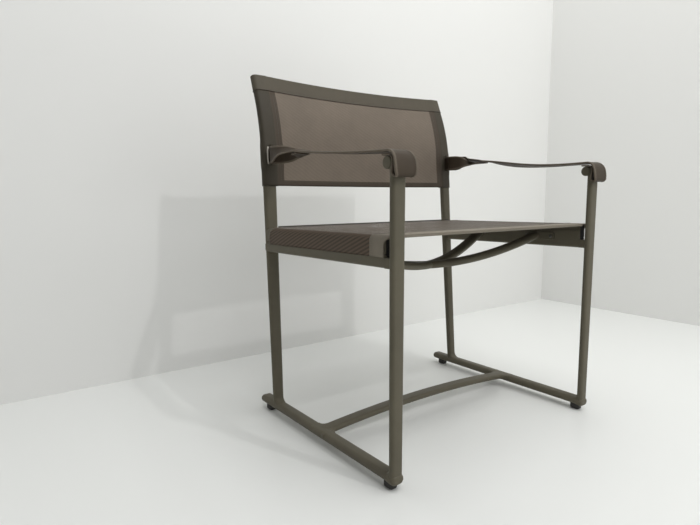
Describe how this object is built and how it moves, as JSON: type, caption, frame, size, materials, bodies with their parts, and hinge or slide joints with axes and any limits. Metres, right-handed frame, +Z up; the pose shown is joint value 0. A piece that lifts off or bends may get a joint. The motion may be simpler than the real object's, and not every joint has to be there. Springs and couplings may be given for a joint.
{
  "type": "sling patio chair",
  "caption": "Outdoor sling armchair with flat-oval metal side frames, a fabric seat and back stretched between them, soft strap arms and crossed braces under the seat.",
  "frame": {"origin": "on the floor under the middle of the chair's outline", "axes": "+Z up, -Y towards the front where the sitter's feet are, +X to the sitter's left"},
  "size_m": [0.6324, 0.5308, 0.7851],
  "materials": {
    "frame": "fine-textured powder coat, olive taupe, satin",
    "mesh_fabric": "open woven vinyl-coated mesh, brown grey",
    "hem_fabric": "smooth close-woven binding, olive grey",
    "strap": "padded close-woven strap, dark olive brown, satin",
    "glide": "dark grey, dull",
    "spline": "black",
    "screw": "dull zinc"
  },
  "bodies": {
    "root": {"runner_left": "frame", "runner_right": "frame", "front_leg_left": "frame", "front_leg_right": "frame", "rear_upright_left": "frame", "rear_upright_right": "frame", "seat_rail_left": "frame", "seat_rail_right": "frame", "arm_peg_left": "frame", "arm_peg_right": "frame", "floor_stretcher": "frame", "front_glide_left": "glide", "front_glide_right": "glide", "rear_glide_left": "glide", "rear_glide_right": "glide", "seat_brace_long": "frame", "seat_brace_half_left": "frame", "seat_brace_half_right": "frame", "front_brace_plate_left": "frame", "front_brace_plate_right": "frame", "rear_brace_plate_left": "frame", "rear_brace_plate_right": "frame", "brace_screw_1_left": "screw", "brace_screw_1_right": "screw", "brace_screw_2_left": "screw", "brace_screw_2_right": "screw", "brace_screw_3_left": "screw", "brace_screw_3_right": "screw", "brace_screw_4_left": "screw", "brace_screw_4_right": "screw", "seat_spline_left": "spline", "seat_spline_right": "spline", "seat_sling": "mesh_fabric", "seat_front_hem": "hem_fabric", "seat_rear_hem": "hem_fabric", "back_sling": "mesh_fabric", "back_top_band": "hem_fabric", "arm_strap_left": "strap", "arm_strap_right": "strap"}
  },
  "joints": []
}
